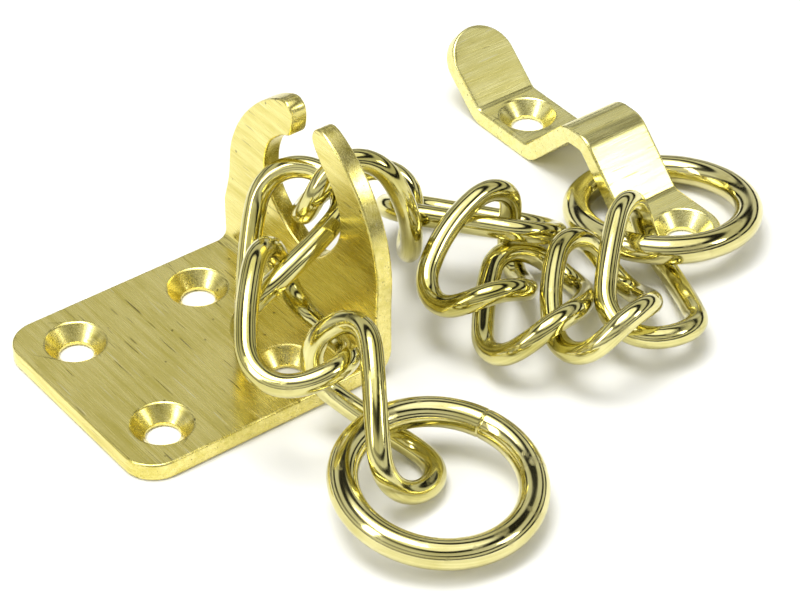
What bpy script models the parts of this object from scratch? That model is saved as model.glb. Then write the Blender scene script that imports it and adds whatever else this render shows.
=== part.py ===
"""Door chain guard: a forked hook plate, a chain of twisted oval links with a ring at its free end, and a
second ring held captive under the hump of a staple bracket.

Lengths are in millimetres and turned into metres as each mesh is made. The origin is the centre of the hook
plate's back face. +Z points away from the door, and +X runs along the plate towards its fork."""

import math

import bmesh
import bpy
import numpy as np
from mathutils import Euler, Matrix, Vector

MM = 0.001

# Colour and roughness of the two kinds of brass
SHEET_FINISH = ((0.80, 0.67, 0.36), 0.28)
WIRE_FINISH = ((0.78, 0.70, 0.38), 0.16)

# Steps round curves, faces that shade as one, and points that count as one
CORNER_STEPS = 6
EDGE_STEPS = 3
STRIP_END_STEPS = 8
LINK_ROUNDING = 2
RING_ROUNDING = 3
SMOOTH_ANGLE = math.radians(40)
MERGE = 0.00001

# Sheet brass, shared by the hook plate and the staple bracket
SHEET = 2.5
BEND_RADIUS = 2.6
BEND_STEPS = 5
SCREW_HOLE = 4.5
COUNTERSINK = 8.2
COUNTERSINK_DEPTH = 1.9
HOLE_SEGMENTS = 28

# How far a blank or a cutter reaches past what it trims
SPARE = 1.5

# Hook plate: flat back plate along X, its +X end bent up into a fork
PLATE_LENGTH = 38.1
PLATE_WIDTH = 34.2
PLATE_CORNER = 4.5
PLATE_HOLES_X = (-11.75, 7.3)
PLATE_HOLES_Y = (-10.15, 10.15)
FORK_HEIGHT = 32.7

# The fork's edge in (y, z), from the foot of the near horn, up round its tip, down into the slot and out again
FORK_EDGE = [
    (-17.1, 9.0), (-17.1, 17.4), (-15.0, 23.9), (-10.6, 29.5), (-5.6, 32.3), (-4.2, 31.8), (-3.6, 30.3),
    (-5.2, 27.6), (-8.3, 24.1), (-9.4, 20.5), (-8.8, 17.4), (-6.5, 14.0), (-4.3, 12.0), (-2.0, 11.3),
    (0.4, 11.8), (3.9, 13.9), (6.4, 16.6), (7.1, 20.2), (5.9, 24.2), (3.2, 26.8), (1.3, 27.9), (0.7, 29.4),
    (0.9, 31.8), (2.2, 32.6), (4.8, 31.7), (8.6, 28.9), (12.6, 24.2), (15.0, 19.1), (15.8, 13.5), (17.1, 9.0),
]

# Staple bracket: a strip along Y with a bent-up thumb tab, a foot, the hump that holds the ring, and a foot
STRIP_WIDTH = 10.2
STRIP_X = 67.45
STRIP_LINE = [(29.4, 9.3), (20.2, 1.25), (8.6, 1.25), (0.65, 9.2), (-3.05, 9.2), (-11.0, 1.25), (-23.8, 1.25)]
STRIP_HOLES_Y = (14.9, -18.7)

# Round wire: twisted oval links and plain rings, whose sizes are those of the wire's centre line
LINK_WIRE = 3.0
LINK_LENGTH = 23.3
LINK_WIDTH = 12.9
LINK_POINTS = 36
RING_WIRE = 3.9
RING_RADIUS = 11.7
RING_POINTS = 40

# Each link as it lies: centre, turn in degrees about X, then Y, then Z, and twist from end to end in degrees
LINK_PLACES = [
    ((6.52, -29.91, 8.69), (109, 32, -91), 103),
    ((4.44, -15.76, 14.46), (32, -2, 62), 87),
    ((11.63, -2.72, 14.53), (-147, 33, -155), 82),
    ((27.21, -1.17, 14.55), (174, 41, 12), 150),
    ((42.54, -3.54, 5.94), (-32, 5, -46), -1),
    ((37.14, -13.81, 8.03), (-149, 6, 36), 123),
    ((38.78, -21.58, 4.93), (-6, 9, 44), 72),
    ((44.39, -28.27, 7.30), (4, 9, 51), 100),
    ((53.17, -27.36, 6.17), (-143, -6, 54), 71),
]

# Each ring as it lies: centre, and turn in degrees about X, then Y
END_RING_PLACE = ((7.5, -41.7, 4.8), (7.8, 1.1, 0.0))
STAPLE_RING_PLACE = ((66.7, -15.1, 3.7), (-7.0, 4.3, 0.0))

# Where the chain bears on the slot of the fork
SLOT_REST = (17.8, -2.0, 10.05)


def clear_scene():
    for obj in list(bpy.data.objects):
        bpy.data.objects.remove(obj, do_unlink=True)


def brass(name, color, roughness):
    material = bpy.data.materials.new(name)
    material.use_nodes = True
    shader = material.node_tree.nodes["Principled BSDF"]
    shader.inputs["Base Color"].default_value = (*color, 1.0)
    shader.inputs["Metallic"].default_value = 1.0
    shader.inputs["Roughness"].default_value = roughness
    return material


def add_object(name, data, finish):
    """A new object with a brass of its own."""
    obj = bpy.data.objects.new(name, data)
    bpy.context.scene.collection.objects.link(obj)
    data.materials.append(brass(f"{name}_brass", *finish))
    return obj


def mesh_from(name, shape):
    """The mesh of this bmesh, its faces turned outwards."""
    bmesh.ops.recalc_face_normals(shape, faces=shape.faces)
    mesh = bpy.data.meshes.new(name)
    shape.to_mesh(mesh)
    shape.free()
    mesh.shade_smooth()
    mesh.set_sharp_from_angle(angle=SMOOTH_ANGLE)
    return mesh


def rounded_path(corners, radius):
    """The open path through these corners, with an arc of this radius at each inner one."""
    corners = [Vector(corner) for corner in corners]
    path = [corners[0]]
    for before, corner, after in zip(corners, corners[1:], corners[2:]):
        inward = (corner - before).normalized()
        onward = (after - corner).normalized()
        turn = math.atan2(inward.cross(onward), inward.dot(onward))
        start = corner - inward * radius * math.tan(abs(turn) / 2)
        spoke = Vector((inward.y, -inward.x)) * math.copysign(radius, turn)
        for step in range(BEND_STEPS + 1):
            angle = turn * step / BEND_STEPS
            turned = Vector((
                spoke.x * math.cos(angle) - spoke.y * math.sin(angle),
                spoke.x * math.sin(angle) + spoke.y * math.cos(angle),
            ))
            path.append(start - spoke + turned)
    path.append(corners[-1])
    return path


def path_normals(path):
    """The direction square to the path at each of its points."""
    ahead = path[1:] + path[-1:]
    behind = path[:1] + path[:-1]
    along = [(b - a).normalized() for a, b in zip(behind, ahead)]
    return [Vector((-step.y, step.x)) for step in along]


def smooth_through(points, steps):
    """Points on a centripetal Catmull-Rom curve through these points."""
    points = [np.array(point) for point in points]
    points = [2 * points[0] - points[1], *points, 2 * points[-1] - points[-2]]
    curve = []
    for four in zip(points, points[1:], points[2:], points[3:]):
        knots = [0.0]
        for a, b in zip(four, four[1:]):
            knots.append(knots[-1] + math.sqrt(np.linalg.norm(b - a)))
        for step in range(steps):
            at = knots[1] + (knots[2] - knots[1]) * step / steps
            row = four
            for spans in (((0, 1), (1, 2), (2, 3)), ((0, 2), (1, 3)), ((1, 2),)):
                row = [
                    (row[k] * (knots[b] - at) + row[k + 1] * (at - knots[a])) / (knots[b] - knots[a])
                    for k, (a, b) in enumerate(spans)
                ]
            curve.append(row[0])
    return [*curve, points[-2]]


def arc(centre, radius, start, end, steps):
    """Points round part of a circle, from one angle in degrees to another."""
    angles = [math.radians(start + (end - start) * step / steps) for step in range(steps + 1)]
    return [(centre[0] + radius * math.cos(a), centre[1] + radius * math.sin(a)) for a in angles]


def prism(name, outline, place, low, high):
    """A mesh with this flat outline, from depth low to depth high; place turns (a, b, depth) into a point."""
    shape = bmesh.new()
    low_ring = [shape.verts.new(Vector(place(a, b, low)) * MM) for a, b in outline]
    high_ring = [shape.verts.new(Vector(place(a, b, high)) * MM) for a, b in outline]
    shape.faces.new(low_ring)
    shape.faces.new(high_ring)
    for k in range(len(outline)):
        after = (k + 1) % len(outline)
        shape.faces.new((low_ring[k], low_ring[after], high_ring[after], high_ring[k]))
    return mesh_from(name, shape)


def boolean(target, mesh, operation):
    """Cuts this mesh from the target, or keeps only what lies inside it."""
    cutter = bpy.data.objects.new(mesh.name, mesh)
    bpy.context.scene.collection.objects.link(cutter)
    cutter.hide_render = True
    cutter.display_type = "WIRE"
    cutter.parent = target
    cutter.matrix_parent_inverse = target.matrix_world.inverted()
    modifier = target.modifiers.new(mesh.name, "BOOLEAN")
    modifier.operation = operation
    modifier.solver = "EXACT"
    modifier.object = cutter


def screw_hole(target, x, y):
    """A countersunk hole down through the sheet at this place."""
    levels = [
        (SCREW_HOLE / 2, -SPARE),
        (SCREW_HOLE / 2, SHEET - COUNTERSINK_DEPTH),
        (COUNTERSINK / 2, SHEET),
        (COUNTERSINK / 2, SHEET + SPARE),
    ]
    shape = bmesh.new()
    rings = []
    for radius, z in levels:
        circle = arc((x, y), radius, 0, 360, HOLE_SEGMENTS)[:-1]
        rings.append([shape.verts.new(Vector((a, b, z)) * MM) for a, b in circle])
    shape.faces.new(rings[0])
    shape.faces.new(rings[-1])
    for lower, upper in zip(rings, rings[1:]):
        for k in range(HOLE_SEGMENTS):
            after = (k + 1) % HOLE_SEGMENTS
            shape.faces.new((lower[k], lower[after], upper[after], upper[k]))
    boolean(target, mesh_from(f"{target.name}_hole_cutter", shape), "DIFFERENCE")


def hook_plate():
    """Back plate and fork, pressed from one sheet: bent to an L, trimmed to outline, and drilled."""
    half = PLATE_LENGTH / 2
    wall_x = half - SHEET / 2
    side = PLATE_WIDTH / 2
    corners = [(-half - SPARE, SHEET / 2), (wall_x, SHEET / 2), (wall_x, FORK_HEIGHT + SPARE)]
    path = rounded_path(corners, BEND_RADIUS)
    normals = path_normals(path)
    inner = [point + normal * SHEET / 2 for point, normal in zip(path, normals)]
    outer = [point - normal * SHEET / 2 for point, normal in zip(path, normals)]
    profile = [*inner, *reversed(outer)]
    blank = prism("hook_plate", profile, lambda a, b, d: (a, d, b), -side - SPARE, side + SPARE)
    plate = add_object("hook_plate", blank, SHEET_FINISH)

    fork = [(side, -SPARE), (-side, -SPARE), *smooth_through(FORK_EDGE, EDGE_STEPS)]
    trim = prism("fork_trim", fork, lambda a, b, d: (d, a, b), -half - 2 * SPARE, half + SPARE)
    boolean(plate, trim, "INTERSECT")

    corner_x = PLATE_CORNER - half
    corner_y = side - PLATE_CORNER
    footprint = [
        (half + SPARE, -side - SPARE), (half + SPARE, side + SPARE), (corner_x, side + SPARE),
        *arc((corner_x, corner_y), PLATE_CORNER, 90, 180, CORNER_STEPS),
        *arc((corner_x, -corner_y), PLATE_CORNER, 180, 270, CORNER_STEPS),
        (corner_x, -side - SPARE),
    ]
    trim = prism("corner_trim", footprint, lambda a, b, d: (a, b, d), -SPARE, FORK_HEIGHT + 2 * SPARE)
    boolean(plate, trim, "INTERSECT")
    for x in PLATE_HOLES_X:
        for y in PLATE_HOLES_Y:
            screw_hole(plate, x, y)
    return plate


def staple_bracket():
    """Thumb tab, feet and hump, bent from one strip whose two ends are half round."""
    path = rounded_path(STRIP_LINE, BEND_RADIUS)
    half = STRIP_WIDTH / 2
    tab_end, tab_root = path[0], path[1]
    foot_root, foot_end = path[-2], path[-1]
    into_tab = (tab_root - tab_end).normalized()
    into_foot = (foot_root - foot_end).normalized()
    turns = [math.radians(90 * step / STRIP_END_STEPS) for step in range(STRIP_END_STEPS + 1)]
    tab = [(tab_end + into_tab * half * (1 - math.cos(t)), half * math.sin(t)) for t in turns]
    foot = [(foot_end + into_foot * half * (1 - math.cos(t)), half * math.sin(t)) for t in turns]
    stations = [*tab, *((point, half) for point in path[1:-1]), *reversed(foot)]
    normals = path_normals([point for point, _ in stations])

    shape = bmesh.new()
    sections = []
    for (point, reach), normal in zip(stations, normals):
        section = []
        for across, through in ((-1, 1), (1, 1), (1, -1), (-1, -1)):
            y, z = point + normal * through * SHEET / 2
            section.append(shape.verts.new(Vector((STRIP_X + across * reach, y, z)) * MM))
        sections.append(section)
    for before, after in zip(sections, sections[1:]):
        for k in range(4):
            shape.faces.new((before[k], before[k - 1], after[k - 1], after[k]))
    bmesh.ops.remove_doubles(shape, verts=shape.verts, dist=MERGE)
    bracket = add_object("staple_bracket", mesh_from("staple_bracket", shape), SHEET_FINISH)
    for y in STRIP_HOLES_Y:
        screw_hole(bracket, STRIP_X, y)
    return bracket


def oval_point(run):
    """The point this far round a flat oval, whose two halves are each other turned half round."""
    radius = LINK_WIDTH / 2
    leg = LINK_LENGTH - LINK_WIDTH
    half_lap = leg + math.pi * radius
    side = 1 if run < half_lap else -1
    run = run % half_lap
    if run < leg:
        return side * (run - leg / 2), -side * radius
    angle = (run - leg) / radius - math.pi / 2
    return side * (leg / 2 + radius * math.cos(angle)), side * radius * math.sin(angle)


def link_line(centre, turn, twist):
    """The centre line of a link's wire: an oval twisted about its own length."""
    lap = 2 * (LINK_LENGTH - LINK_WIDTH) + math.pi * LINK_WIDTH
    points = []
    for k in range(LINK_POINTS):
        along, across = oval_point(lap * k / LINK_POINTS)
        angle = math.radians(twist) * along / LINK_LENGTH
        points.append((along, across * math.cos(angle), across * math.sin(angle)))
    return placed(points, centre, turn)


def ring_line(centre, turn):
    """The centre line of a ring's wire."""
    circle = arc((0, 0), RING_RADIUS, 0, 360, RING_POINTS)[:-1]
    return placed([(a, b, 0.0) for a, b in circle], centre, turn)


def placed(points, centre, turn):
    """The points, turned about X, then Y, then Z, and moved to this centre."""
    turned = Euler([math.radians(angle) for angle in turn], "XYZ").to_matrix()
    return np.array(points) @ np.array(turned).T + np.array(centre)


def bearing(parent_line, child_line):
    """The point of the parent's wire that the child's wire bears on."""
    gaps = np.linalg.norm(parent_line[:, None] - child_line[None], axis=2)
    return parent_line[gaps.min(axis=1).argmin()]


def wire_loop(name, line, wire, rounding, pivot):
    """A closed loop of round wire along this line, whose origin is its pivot."""
    curve = bpy.data.curves.new(name, "CURVE")
    curve.dimensions = "3D"
    curve.bevel_depth = wire / 2 * MM
    curve.bevel_resolution = rounding
    spline = curve.splines.new("POLY")
    spline.points.add(len(line) - 1)
    spline.points.foreach_set("co", np.column_stack([(line - pivot) * MM, np.ones(len(line))]).ravel())
    spline.use_cyclic_u = True
    loop = add_object(name, curve, WIRE_FINISH)
    loop.location = Vector(pivot) * MM
    return loop


def set_origin(obj, pivot):
    """Moves the object's origin to its pivot, and leaves its shape and its cutters where they are."""
    shift = Matrix.Translation(-Vector(pivot) * MM)
    obj.data.transform(shift)
    for cutter in obj.children:
        cutter.data.transform(shift)
    obj.location = Vector(pivot) * MM


def build():
    clear_scene()
    links = [link_line(*place) for place in LINK_PLACES]
    end_ring = ring_line(*END_RING_PLACE)
    staple_ring = ring_line(*STAPLE_RING_PLACE)

    hook_plate()
    pivots = [
        bearing(links[1], links[0]),
        bearing(links[2], links[1]),
        SLOT_REST,
        *(bearing(parent, child) for parent, child in zip(links[2:], links[3:])),
    ]
    for number, (line, pivot) in enumerate(zip(links, pivots), start=1):
        wire_loop(f"chain_link_{number}", line, LINK_WIRE, LINK_ROUNDING, pivot)
    wire_loop("end_ring", end_ring, RING_WIRE, RING_ROUNDING, bearing(links[0], end_ring))
    wire_loop("staple_ring", staple_ring, RING_WIRE, RING_ROUNDING, bearing(links[-1], staple_ring))
    crest = np.array([(STRIP_X, y, z) for y, z in STRIP_LINE[3:5]])
    set_origin(staple_bracket(), bearing(staple_ring, crest))


build()
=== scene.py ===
"""Looks of a brass door chain guard: forked hook plate, nine links, two rings and a staple bracket."""

import math

import bmesh
import bpy
import numpy as np
from mathutils import Euler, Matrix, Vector


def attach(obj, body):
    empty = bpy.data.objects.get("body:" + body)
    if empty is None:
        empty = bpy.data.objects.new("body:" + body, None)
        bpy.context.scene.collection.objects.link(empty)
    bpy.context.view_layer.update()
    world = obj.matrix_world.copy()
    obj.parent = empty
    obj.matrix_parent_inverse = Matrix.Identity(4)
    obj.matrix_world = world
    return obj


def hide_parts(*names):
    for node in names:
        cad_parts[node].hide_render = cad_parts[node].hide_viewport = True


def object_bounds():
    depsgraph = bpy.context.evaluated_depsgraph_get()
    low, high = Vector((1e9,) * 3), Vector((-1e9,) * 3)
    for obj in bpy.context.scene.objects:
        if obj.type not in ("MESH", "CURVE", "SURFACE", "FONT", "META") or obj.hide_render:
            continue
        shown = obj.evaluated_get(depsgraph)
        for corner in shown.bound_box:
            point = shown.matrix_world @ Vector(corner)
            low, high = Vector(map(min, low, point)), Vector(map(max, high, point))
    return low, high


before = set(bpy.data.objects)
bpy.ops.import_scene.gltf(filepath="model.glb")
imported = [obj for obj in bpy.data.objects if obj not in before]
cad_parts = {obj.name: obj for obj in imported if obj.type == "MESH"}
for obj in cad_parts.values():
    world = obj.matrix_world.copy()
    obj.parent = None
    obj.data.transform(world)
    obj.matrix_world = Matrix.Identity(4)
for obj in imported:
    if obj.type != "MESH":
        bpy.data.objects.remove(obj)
cad_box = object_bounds()


# --- Table, light and camera ---------------------------------------------------------------------------
# The guard lies on a plain white table inside a ring of soft lights, as small hardware does in a
# catalogue. Soft boxes and pale panels give the brass its pale faces, and the gaps its dark lines.

MM = 0.001
TABLE_SIZE = 6.0
AIM = Vector((28.85, -5.8, 0.0)) * MM
VIEW_DISTANCE = 395.5 * MM
VIEW_PITCH = math.radians(38.28)
VIEW_YAW = math.radians(37.17)
LENS = 133.8


class Shade:
    """One output of a shader node, which takes part in arithmetic like a number."""

    def __init__(self, tree, socket=None):
        self.tree = tree
        self.socket = socket

    def make(self, kind, settings=None, inputs=None, output=0):
        """Adds a node of this kind, sets it up, and feeds its sockets with values or other outputs."""
        node = self.tree.nodes.new(kind)
        for name, value in (settings or {}).items():
            if name == "stops":
                self.set_stops(node.color_ramp, value)
            else:
                setattr(node, name, value)
        for key, value in (inputs or {}).items():
            if isinstance(value, Shade):
                self.tree.links.new(value.socket, node.inputs[key])
            else:
                node.inputs[key].default_value = value
        return Shade(self.tree, node.outputs[output])

    def set_stops(self, ramp, stops):
        while len(ramp.elements) < len(stops):
            ramp.elements.new(1.0)
        for element, (position, color) in zip(ramp.elements, stops):
            element.position = position
            element.color = color

    def math(self, operation, *values):
        return self.make("ShaderNodeMath", {"operation": operation}, dict(enumerate(values)))

    def mix(self, mask, low, high):
        """Blends two colours, low where the mask is 0 and high where it is 1."""
        return self.make("ShaderNodeMix", {"data_type": "RGBA"}, {0: mask, 6: low, 7: high}, 2)

    def noise(self, scale, detail=2.0, stretch=(1.0, 1.0, 1.0)):
        """Cloudy values from 0 to 1 over this vector, stretched along its axes."""
        place = self.make("ShaderNodeVectorMath", {"operation": "MULTIPLY"}, {0: self, 1: stretch})
        return self.make("ShaderNodeTexNoise", None, {"Vector": place, "Scale": scale, "Detail": detail})

    def above(self, edge, softness):
        """A mask that is 0 below the edge and rises to 1 over the softness."""
        settings = {"interpolation_type": "SMOOTHSTEP"}
        inputs = {"Value": self, "From Min": edge, "From Max": edge + softness}
        return self.make("ShaderNodeMapRange", settings, inputs)

    def __add__(self, other):
        return self.math("ADD", self, other)

    def __radd__(self, other):
        return self.math("ADD", other, self)

    def __sub__(self, other):
        return self.math("SUBTRACT", self, other)

    def __rsub__(self, other):
        return self.math("SUBTRACT", other, self)

    def __mul__(self, other):
        return self.math("MULTIPLY", self, other)

    def __rmul__(self, other):
        return self.math("MULTIPLY", other, self)


def start_material(name):
    """A new material, its node graph, and its surface shader."""
    material = bpy.data.materials.new(name)
    material.use_nodes = True
    return material, Shade(material.node_tree), material.node_tree.nodes["Principled BSDF"]


def feed(shader, name, value):
    """Links this value to the shader's socket of this name."""
    value.tree.links.new(value.socket, shader.inputs[name])


def link_to_scene(obj):
    bpy.context.scene.collection.objects.link(obj)
    return obj


def place_table():
    reach = TABLE_SIZE / 2
    mesh = bpy.data.meshes.new("table_top")
    corners = [(-reach, -reach, 0), (reach, -reach, 0), (reach, reach, 0), (-reach, reach, 0)]
    mesh.from_pydata(corners, [], [(0, 1, 2, 3)])
    table = link_to_scene(bpy.data.objects.new("table_top", mesh))
    table.location = (0, 0, cad_box[0][2] - 0.05 * MM)
    material, graph, shader = start_material("table_white")
    coords = graph.make("ShaderNodeTexCoord", output="Object")
    cloud = coords.noise(9.0, 1.0)
    feed(shader, "Base Color", graph.mix(cloud, (0.93, 0.93, 0.92, 1), (0.96, 0.96, 0.95, 1)))
    shader.inputs["Roughness"].default_value = 0.6
    shader.inputs["Specular IOR Level"].default_value = 0.15
    mesh.materials.append(material)


def soft_box(name, toward, distance, size, power):
    """A flat soft box in this direction from the guard, facing it."""
    light = bpy.data.lights.new(name, "AREA")
    light.shape = "RECTANGLE"
    light.size, light.size_y = size
    light.energy = power
    box = link_to_scene(bpy.data.objects.new(name, light))
    box.location = AIM + Vector(toward).normalized() * distance
    box.rotation_euler = (AIM - box.location).to_track_quat("-Z", "Y").to_euler()


def set_room():
    """The room behind the soft boxes: pale panels, with dark gaps between them at several heights."""
    world = bpy.data.worlds.new("studio_room")
    world.use_nodes = True
    bpy.context.scene.world = world
    graph = Shade(world.node_tree)
    direction = graph.make("ShaderNodeTexCoord", output="Generated")
    height = graph.make("ShaderNodeSeparateXYZ", None, {0: direction}, "Z") * 0.5 + 0.5
    bands = graph.make("ShaderNodeValToRGB", {"stops": [
        (0.48, (0.50, 0.50, 0.48, 1)),
        (0.50, (0.00, 0.00, 0.00, 1)),
        (0.57, (0.01, 0.01, 0.01, 1)),
        (0.59, (0.78, 0.78, 0.76, 1)),
        (0.66, (0.74, 0.74, 0.72, 1)),
        (0.68, (0.00, 0.00, 0.00, 1)),
        (0.74, (0.01, 0.01, 0.01, 1)),
        (0.76, (0.76, 0.76, 0.72, 1)),
        (0.86, (0.70, 0.70, 0.66, 1)),
        (0.88, (0.01, 0.01, 0.01, 1)),
        (0.93, (0.01, 0.01, 0.01, 1)),
        (0.95, (1.40, 1.40, 1.38, 1)),
    ]}, {0: height})
    sideways = graph.make("ShaderNodeSeparateXYZ", None, {0: direction}, "X")
    left_glow = 1.0 - sideways.above(-0.9, 0.7)
    color = graph.mix(left_glow * 0.4, bands, (0.95, 0.95, 0.92, 1))
    sky = world.node_tree.nodes["Background"]
    world.node_tree.links.new(color.socket, sky.inputs["Color"])


def place_camera():
    camera = bpy.data.cameras.new("catalogue_camera")
    camera.lens = LENS
    view = link_to_scene(bpy.data.objects.new("catalogue_camera", camera))
    level = math.cos(VIEW_PITCH)
    look = Vector((level * math.sin(VIEW_YAW), level * math.cos(VIEW_YAW), -math.sin(VIEW_PITCH)))
    view.location = AIM - look * VIEW_DISTANCE
    view.rotation_euler = look.to_track_quat("-Z", "Y").to_euler()
    bpy.context.scene.camera = view


bpy.context.scene.view_settings.view_transform = "Standard"
place_table()
set_room()
soft_box("top_box", (-0.15, 0.10, 1.25), 0.9, (0.42, 0.42), 4.6)
soft_box("front_right_box", (0.50, -0.66, 0.56), 0.8, (0.20, 0.16), 0.8)
soft_box("left_box", (-0.95, 0.10, 0.75), 0.8, (0.16, 0.50), 1.6)
place_camera()


# --- Hook plate ----------------------------------------------------------------------------------------
# The plate that is screwed to the door: a 2.5 mm brass blank, stamped to outline, countersunk for four
# screws, linished across, and bent up at one end into a fork whose two horns hold the chain.

SHEET = 2.5
BEND_RADIUS = 2.6
RIM = 0.32
SCREW_HOLE = 4.5
COUNTERSINK = 8.2
COUNTERSINK_DEPTH = 1.9
THROAT = SCREW_HOLE / 2
MOUTH = COUNTERSINK / 2
NECK = SHEET - COUNTERSINK_DEPTH
HOLE_SEGMENTS = 64
BEND_STEPS = 14
CORNER_STEPS = 12
EDGE_STEPS = 8
RIM_STEPS = 4
STATION_GAP = 0.002
CREASE_ANGLE = math.radians(50)
CREASE_WEIGHT = 90
# Up a screw hole: height through the sheet, and radius, with the edges at both ends broken
HOLE_PROFILE = [
    (0.0, THROAT + 0.15), (0.15, THROAT), (NECK - 0.1, THROAT), (NECK + 0.08, THROAT + 0.08),
    (SHEET - 0.22, MOUTH - 0.18), (SHEET - 0.08, MOUTH), (SHEET, MOUTH + 0.22),
]
PLATE_LENGTH = 38.1
PLATE_WIDTH = 34.2
PLATE_CORNER = 4.5
PLATE_HOLES_X = (-11.75, 7.3)
PLATE_HOLES_Y = (-10.15, 10.15)
FORK_EDGE = [
    (-17.1, 9.0), (-17.1, 17.4), (-15.0, 23.9), (-10.6, 29.5), (-5.6, 32.3), (-4.2, 31.8), (-3.6, 30.3),
    (-5.2, 27.6), (-8.3, 24.1), (-9.4, 20.5), (-8.8, 17.4), (-6.5, 14.0), (-4.3, 12.0), (-2.0, 11.3),
    (0.4, 11.8), (3.9, 13.9), (6.4, 16.6), (7.1, 20.2), (5.9, 24.2), (3.2, 26.8), (1.3, 27.9), (0.7, 29.4),
    (0.9, 31.8), (2.2, 32.6), (4.8, 31.7), (8.6, 28.9), (12.6, 24.2), (15.0, 19.1), (15.8, 13.5), (17.1, 9.0),
]


def smooth_through(points, steps):
    """Points on a centripetal Catmull-Rom curve through these points."""
    points = [np.array(point) for point in points]
    points = [2 * points[0] - points[1], *points, 2 * points[-1] - points[-2]]
    curve = []
    for four in zip(points, points[1:], points[2:], points[3:]):
        knots = [0.0]
        for a, b in zip(four, four[1:]):
            knots.append(knots[-1] + math.sqrt(np.linalg.norm(b - a)))
        for step in range(steps):
            at = knots[1] + (knots[2] - knots[1]) * step / steps
            row = four
            for spans in (((0, 1), (1, 2), (2, 3)), ((0, 2), (1, 3)), ((1, 2),)):
                row = [
                    (row[k] * (knots[b] - at) + row[k + 1] * (at - knots[a])) / (knots[b] - knots[a])
                    for k, (a, b) in enumerate(spans)
                ]
            curve.append(tuple(row[0]))
    return [*curve, tuple(points[-2])]


def arc(centre, radius, start, end, steps):
    """Points round part of a circle, from one angle in degrees to another."""
    angles = [math.radians(start + (end - start) * step / steps) for step in range(steps + 1)]
    return [(centre[0] + radius * math.cos(a), centre[1] + radius * math.sin(a)) for a in angles]


def bent_line(corners, radius):
    """The sheet's middle line through these corners, as (distance, point, along) with an arc at each bend."""
    corners = [Vector(corner) for corner in corners]
    path = [corners[0]]
    for before, corner, after in zip(corners, corners[1:], corners[2:]):
        inward = (corner - before).normalized()
        onward = (after - corner).normalized()
        turn = math.atan2(inward.cross(onward), inward.dot(onward))
        start = corner - inward * radius * math.tan(abs(turn) / 2)
        spoke = Vector((inward.y, -inward.x)) * math.copysign(radius, turn)
        for step in range(BEND_STEPS + 1):
            angle = turn * step / BEND_STEPS
            across = Vector((spoke.x * math.cos(angle) - spoke.y * math.sin(angle),
                             spoke.x * math.sin(angle) + spoke.y * math.cos(angle)))
            path.append(start - spoke + across)
    path.append(corners[-1])
    runs = [0.0]
    for a, b in zip(path, path[1:]):
        runs.append(runs[-1] + (b - a).length)
    ahead = path[1:] + path[-1:]
    behind = path[:1] + path[:-1]
    return [(run, point, (b - a).normalized()) for run, point, a, b in zip(runs, path, behind, ahead)]


def inset_loop(loop, distance):
    """The closed outline, moved inwards by this distance. It runs anticlockwise."""
    points = np.array(loop)
    along = np.roll(points, -1, 0) - np.roll(points, 1, 0)
    along /= np.linalg.norm(along, axis=1)[:, None]
    inward = np.column_stack([-along[:, 1], along[:, 0]])
    return points + inward * distance


def pressed(name, outline, holes, line, side_axis):
    """A blank with this outline and these countersunk holes, rolled at its edges and bent along the line.

    The flat blank lies in (distance along the line, sideways, height through the sheet)."""
    shape = bmesh.new()
    low_edges, high_edges = [], []

    def wall(loops):
        rows = [[shape.verts.new((a, b, height)) for a, b in loop] for height, loop in loops]
        for lower, upper in zip(rows, rows[1:]):
            for k in range(len(lower)):
                after = (k + 1) % len(lower)
                shape.faces.new((lower[k], lower[after], upper[after], upper[k]))
        for row, edges in ((rows[0], low_edges), (rows[-1], high_edges)):
            edges.extend(shape.edges.get((row[k], row[(k + 1) % len(row)])) for k in range(len(row)))

    turns = [math.radians(90 * step / RIM_STEPS) for step in range(RIM_STEPS + 1)]
    roll = [(RIM * (1 - math.sin(t)), RIM * (1 - math.cos(t))) for t in turns]
    levels = [(height, inset) for inset, height in roll]
    levels += [(SHEET - height, inset) for inset, height in reversed(roll)]
    wall([(height, inset_loop(outline, inset)) for height, inset in levels])
    for hole in holes:
        wall([(height, arc(hole, radius, 360, 0, HOLE_SEGMENTS)[:-1]) for height, radius in HOLE_PROFILE])
    bmesh.ops.triangle_fill(shape, edges=low_edges, use_beauty=True)
    bmesh.ops.triangle_fill(shape, edges=high_edges, use_beauty=True)

    for run, _, _ in line[1:-1]:
        everything = shape.verts[:] + shape.edges[:] + shape.faces[:]
        bmesh.ops.bisect_plane(
            shape, geom=everything, plane_co=(run, 0, 0), plane_no=(1, 0, 0), dist=STATION_GAP)
    runs = np.array([run for run, _, _ in line])
    spots = np.array([point for _, point, _ in line])
    ways = np.array([along for _, _, along in line])
    for vert in shape.verts:
        run, side, height = vert.co
        beyond = max(run - runs[-1], 0.0) + min(run - runs[0], 0.0)
        spot = np.array([np.interp(run, runs, spots[:, k]) for k in (0, 1)])
        way = np.array([np.interp(run, runs, ways[:, k]) for k in (0, 1)])
        way /= np.linalg.norm(way)
        spot = spot + way * beyond + np.array([-way[1], way[0]]) * (height - SHEET / 2)
        vert.co = side_axis(spot[0], spot[1], side) * MM
    bmesh.ops.recalc_face_normals(shape, faces=shape.faces)
    mesh = bpy.data.meshes.new(name)
    shape.to_mesh(mesh)
    shape.free()
    mesh.shade_smooth()
    mesh.set_sharp_from_angle(angle=CREASE_ANGLE)
    piece = link_to_scene(bpy.data.objects.new(name, mesh))
    even = piece.modifiers.new("even_shading", "WEIGHTED_NORMAL")
    even.mode = "FACE_AREA"
    even.weight = CREASE_WEIGHT
    even.keep_sharp = True
    return piece


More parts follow.
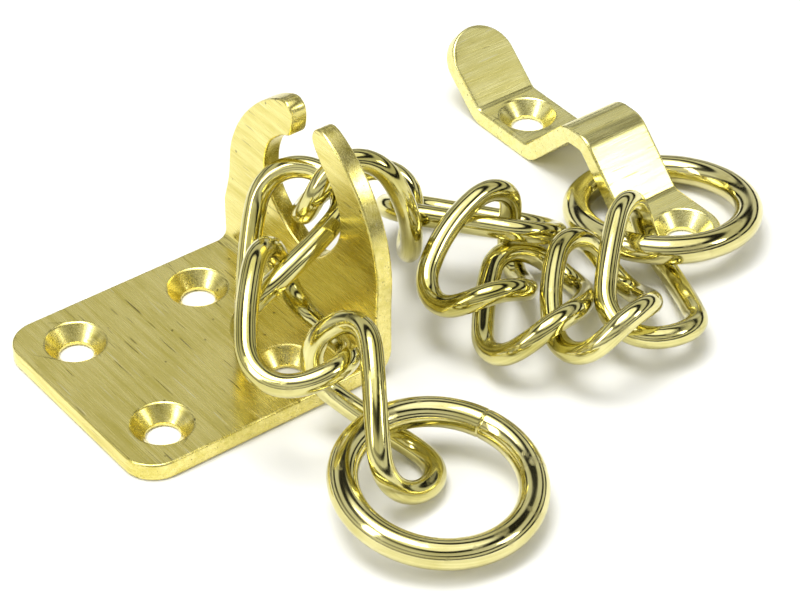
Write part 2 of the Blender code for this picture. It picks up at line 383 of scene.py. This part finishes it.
def sheet_brass(name, lines_along, pale, deep):
    """Lacquered brass sheet: fine lines one way, faint clouding, painted highlight streaks, scratches, and a
    few pinholes.
    """
    material, graph, shader = start_material(name)
    coords = graph.make("ShaderNodeTexCoord", output="Object")
    across = tuple(250.0 if axis == lines_along else 7000.0 for axis in "XYZ")
    lines = coords.noise(1.0, 3.0, across)
    broad = coords.noise(1.0, 2.0, tuple(value / 6 for value in across))
    cloud = coords.noise(70.0, 3.0)
    cell = coords.make("ShaderNodeTexVoronoi", None, {"Vector": coords, "Scale": 330.0})
    pinhole = 1.0 - cell.above(0.045, 0.03)
    score = coords.noise(1.0, 1.0, tuple(value * 0.55 for value in across)).above(0.70, 0.05)
    # Painted highlight: streaks along the lines where the base colour is mixed towards a pale near-white gold
    painted_glint = coords.noise(1.3, 1.0, tuple(value * 0.45 for value in across)).above(0.71, 0.05)
    grade = (lines * 0.5 + broad * 0.45 + cloud * 0.4).above(0.42, 0.45)
    color = graph.mix(grade, deep, pale)
    color = graph.mix(painted_glint * 0.6, color, (0.96, 0.92, 0.66, 1))
    flaw = graph.math("MAXIMUM", score * 0.75, pinhole * 0.8)
    color = graph.mix(flaw, color, (0.12, 0.09, 0.02, 1))
    feed(shader, "Base Color", color)
    feed(shader, "Roughness", 0.16 + lines * 0.15 + cloud * 0.06)
    shader.inputs["Metallic"].default_value = 1.0
    shader.inputs["Coat Weight"].default_value = 0.15
    shader.inputs["Coat Roughness"].default_value = 0.08
    height = lines * 0.6 + broad * 0.25 - pinhole * 0.8 - score * 0.6
    bump = graph.make("ShaderNodeBump", None, {"Strength": 0.25, "Distance": 0.00003, "Height": height})
    feed(shader, "Normal", bump)
    return material


def make_hook_plate():
    half = PLATE_LENGTH / 2
    side = PLATE_WIDTH / 2
    wall_x = half - SHEET / 2
    top = max(z for _, z in FORK_EDGE)
    line = bent_line([(-half, SHEET / 2), (wall_x, SHEET / 2), (wall_x, top)], BEND_RADIUS)
    length = line[-1][0]

    def unrolled(y, z):
        """Where a point of the upright fork lies along the flat blank."""
        return length - (top - z), y

    fork = [unrolled(y, z) for y, z in smooth_through(FORK_EDGE, EDGE_STEPS)]
    outline = [
        *fork,
        *arc((PLATE_CORNER, side - PLATE_CORNER), PLATE_CORNER, 90, 180, CORNER_STEPS),
        *arc((PLATE_CORNER, PLATE_CORNER - side), PLATE_CORNER, 180, 270, CORNER_STEPS),
    ]
    holes = [(x + half, y) for x in PLATE_HOLES_X for y in PLATE_HOLES_Y]
    plate = pressed("hook_plate_brass", outline, holes, line, lambda a, b, side: Vector((a, side, b)))
    pale, deep = (0.90, 0.80, 0.31, 1), (0.62, 0.53, 0.10, 1)
    plate.data.materials.append(sheet_brass("linished_brass", "Y", pale, deep))
    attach(plate, "hook_plate")
    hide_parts("hook_plate")


make_hook_plate()


# --- Staple bracket ------------------------------------------------------------------------------------
# The strip that is screwed to the door frame: brass of the same gauge, its ends rounded, with a thumb tab
# bent up at one end and a hump pressed between its two screw holes to hold the ring captive.

STRIP_WIDTH = 10.2
STRIP_X = 67.45
STRIP_LINE = [(29.4, 9.3), (20.2, 1.25), (8.6, 1.25), (0.65, 9.2), (-3.05, 9.2), (-11.0, 1.25), (-23.8, 1.25)]
STRIP_HOLES_Y = (14.9, -18.7)
STRIP_END_STEPS = 32


def make_staple_bracket():
    line = bent_line([(-y, z) for y, z in STRIP_LINE], BEND_RADIUS)
    length = line[-1][0]
    half = STRIP_WIDTH / 2
    outline = [
        *arc((half, 0), half, 90, 270, STRIP_END_STEPS),
        *arc((length - half, 0), half, -90, 90, STRIP_END_STEPS),
    ]
    runs = [run for run, _, _ in line]
    places = [point.x for _, point, _ in line]
    holes = [(float(np.interp(-y, places, runs)), 0.0) for y in STRIP_HOLES_Y]
    bracket = pressed("staple_bracket_brass", outline, holes, line,
                      lambda a, b, side: Vector((STRIP_X + side, -a, b)))
    # Painted light: the plate's brass, painted paler here to stand in for the brighter light falling on the
    # bracket
    pale, deep = (0.95, 0.89, 0.42, 1), (0.78, 0.70, 0.22, 1)
    bracket.data.materials.append(sheet_brass("strip_brass_painted_light", "X", pale, deep))
    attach(bracket, "staple_bracket")
    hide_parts("staple_bracket")


make_staple_bracket()


# --- End ring and staple ring --------------------------------------------------------------------------
# Two equal rings of 3.9 mm brass wire, wound on a mandrel, cut and closed to a butt joint that stays
# visible as a hair line. One ends the chain, and the other is caught under the bracket's hump.

RING_WIRE = 3.9
RING_RADIUS = 11.7
RING_POINTS = 200
RING_SIDES = 28
END_RING_PLACE = ((7.5, -41.7, 4.8), (7.8, 1.1, 0.0))
STAPLE_RING_PLACE = ((66.7, -15.1, 3.7), (-7.0, 4.3, 0.0))
END_RING_SEAM_ANGLE = 24
STAPLE_RING_SEAM_ANGLE = 70
JOINT_WIDTH = 0.11
JOINT_DEPTH = 0.16
JOINT_STATIONS = (-0.6, -0.35, -0.22, -0.14, -0.07, 0.0, 0.07, 0.14, 0.22, 0.35)


def placed(points, centre, turn):
    """The points, turned about X, then Y, then Z, and moved to this centre."""
    turned = Euler([math.radians(angle) for angle in turn], "XYZ").to_matrix()
    return np.array(points) @ np.array(turned).T + np.array(centre)


def wire_loop(name, line, wire, sides, seam=False):
    """A closed loop of round wire along this line. A seam is a hair-wide groove where the ends meet."""
    along = np.roll(line, -1, 0) - np.roll(line, 1, 0)
    along /= np.linalg.norm(along, axis=1)[:, None]
    outward = line - line.mean(axis=0)
    outward -= along * (outward * along).sum(axis=1)[:, None]
    outward /= np.linalg.norm(outward, axis=1)[:, None]
    upward = np.cross(along, outward)
    count = len(line)
    steps = np.linalg.norm(np.roll(line, -1, 0) - line, axis=1)
    runs = np.concatenate([[0.0], np.cumsum(steps)[:-1]])
    lap = steps.sum()
    radius = np.full(count, wire / 2)
    if seam:
        middle = runs[JOINT_STATIONS.index(0.0)]
        away = (runs - middle + lap / 2) % lap - lap / 2
        radius -= JOINT_DEPTH * np.exp(-(away / JOINT_WIDTH) ** 2)
    spin = np.arange(sides) * 2 * math.pi / sides
    ring = outward[:, None] * np.cos(spin)[None, :, None] + upward[:, None] * np.sin(spin)[None, :, None]
    points = (line[:, None] + ring * radius[:, None, None]) * MM
    faces = []
    for k in range(count):
        after = (k + 1) % count
        for s in range(sides):
            t = (s + 1) % sides
            faces.append((k * sides + s, k * sides + t, after * sides + t, after * sides + s))
    mesh = bpy.data.meshes.new(name)
    mesh.from_pydata(points.reshape(-1, 3), [], faces)
    lap_turn = runs / lap * 2 * math.pi
    grain = np.stack(np.broadcast_arrays(
        np.cos(spin)[None], np.sin(spin)[None], np.sin(lap_turn)[:, None], np.cos(lap_turn)[:, None],
    ), axis=-1)
    layer = mesh.attributes.new("grain", "FLOAT_COLOR", "POINT")
    layer.data.foreach_set("color", grain.astype(np.float32).ravel())
    mesh.shade_smooth()
    return link_to_scene(bpy.data.objects.new(name, mesh))


def wire_brass(name, pale, deep, draw_lines):
    """Polished brass wire: die lines drawn along it, faint clouding, and small dull rubs."""
    material, graph, shader = start_material(name)
    coords = graph.make("ShaderNodeTexCoord", output="Object")
    round_wire = graph.make("ShaderNodeAttribute", {"attribute_name": "grain"}, None, "Color")
    round_lap = graph.make("ShaderNodeAttribute", {"attribute_name": "grain"}, None, "Alpha")
    stretched = graph.make("ShaderNodeVectorMath", {"operation": "MULTIPLY"}, {0: round_wire, 1: (7, 7, 1.6)})
    inputs = {"Vector": stretched, "W": round_lap * 1.6, "Scale": 1.0, "Detail": 3.0}
    lines = graph.make("ShaderNodeTexNoise", {"noise_dimensions": "4D"}, inputs)
    cloud = coords.noise(120.0, 3.0)
    rub = coords.noise(420.0, 2.0).above(0.58, 0.1) * cloud
    color = graph.mix((cloud * 0.8 + lines * 0.4).above(0.3, 0.6), deep, pale)
    color = graph.mix(rub * 0.25, color, (0.45, 0.36, 0.12, 1))
    feed(shader, "Base Color", color)
    feed(shader, "Roughness", 0.07 + lines * 0.08 + rub * 0.25)
    shader.inputs["Metallic"].default_value = 1.0
    shader.inputs["Coat Weight"].default_value = 0.1
    shader.inputs["Coat Roughness"].default_value = 0.05
    height = lines * draw_lines + rub * 0.2
    bump = graph.make("ShaderNodeBump", None, {"Strength": 0.3, "Distance": 0.00004, "Height": height})
    feed(shader, "Normal", bump)
    return material


def make_rings():
    finish = wire_brass("ring_brass", (0.84, 0.78, 0.40, 1), (0.54, 0.48, 0.15, 1), 0.5)
    rings = [
        ("end_ring", END_RING_PLACE, END_RING_SEAM_ANGLE),
        ("staple_ring", STAPLE_RING_PLACE, STAPLE_RING_SEAM_ANGLE),
    ]
    for body, place, seam_angle in rings:
        seam = [seam_angle + math.degrees(offset / RING_RADIUS) for offset in JOINT_STATIONS]
        rest = np.linspace(seam[-1], seam[0] + 360, RING_POINTS)[1:-1]
        turns = [math.radians(angle) for angle in (*seam, *rest)]
        circle = [(RING_RADIUS * math.cos(t), RING_RADIUS * math.sin(t), 0.0) for t in turns]
        ring = wire_loop(body + "_brass", placed(circle, *place), RING_WIRE, RING_SIDES, True)
        ring.data.materials.append(finish)
        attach(ring, body)
        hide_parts(body)


make_rings()


# --- Chain links ---------------------------------------------------------------------------------------
# Nine equal links of 3.0 mm brass wire. Each is a closed oval, twisted about its own length so that the
# chain lies without kinks. The fifth lies nearly flat, and the others are twisted by different amounts.

LINK_WIRE = 3.0
LINK_LENGTH = 23.3
LINK_WIDTH = 12.9
LINK_POINTS = 180
LINK_SIDES = 24
LINK_PLACES = [
    ((6.52, -29.91, 8.69), (109, 32, -91), 103),
    ((4.44, -15.76, 14.46), (32, -2, 62), 87),
    ((11.63, -2.72, 14.53), (-147, 33, -155), 82),
    ((27.21, -1.17, 14.55), (174, 41, 12), 150),
    ((42.54, -3.54, 5.94), (-32, 5, -46), -1),
    ((37.14, -13.81, 8.03), (-149, 6, 36), 123),
    ((38.78, -21.58, 4.93), (-6, 9, 44), 72),
    ((44.39, -28.27, 7.30), (4, 9, 51), 100),
    ((53.17, -27.36, 6.17), (-143, -6, 54), 71),
]


def oval_point(run):
    """The point this far round a flat oval, whose two halves are each other turned half round."""
    radius = LINK_WIDTH / 2
    leg = LINK_LENGTH - LINK_WIDTH
    half_lap = leg + math.pi * radius
    side = 1 if run < half_lap else -1
    run = run % half_lap
    if run < leg:
        return side * (run - leg / 2), -side * radius
    angle = (run - leg) / radius - math.pi / 2
    return side * (leg / 2 + radius * math.cos(angle)), side * radius * math.sin(angle)


def make_links():
    # Painted shade: the deep colour is darker than the rings', standing in for the shade in the gaps between
    # the links
    finish = wire_brass("link_brass_painted_shade", (0.83, 0.77, 0.36, 1), (0.44, 0.39, 0.09, 1), 0.8)
    lap = 2 * (LINK_LENGTH - LINK_WIDTH) + math.pi * LINK_WIDTH
    for number, (centre, turn, twist) in enumerate(LINK_PLACES, start=1):
        line = []
        for k in range(LINK_POINTS):
            along, across = oval_point(lap * k / LINK_POINTS)
            angle = math.radians(twist) * along / LINK_LENGTH
            line.append((along, across * math.cos(angle), across * math.sin(angle)))
        body = f"chain_link_{number}"
        link = wire_loop(body + "_brass", placed(line, centre, turn), LINK_WIRE, LINK_SIDES)
        link.data.materials.append(finish)
        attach(link, body)
        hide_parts(body)


make_links()
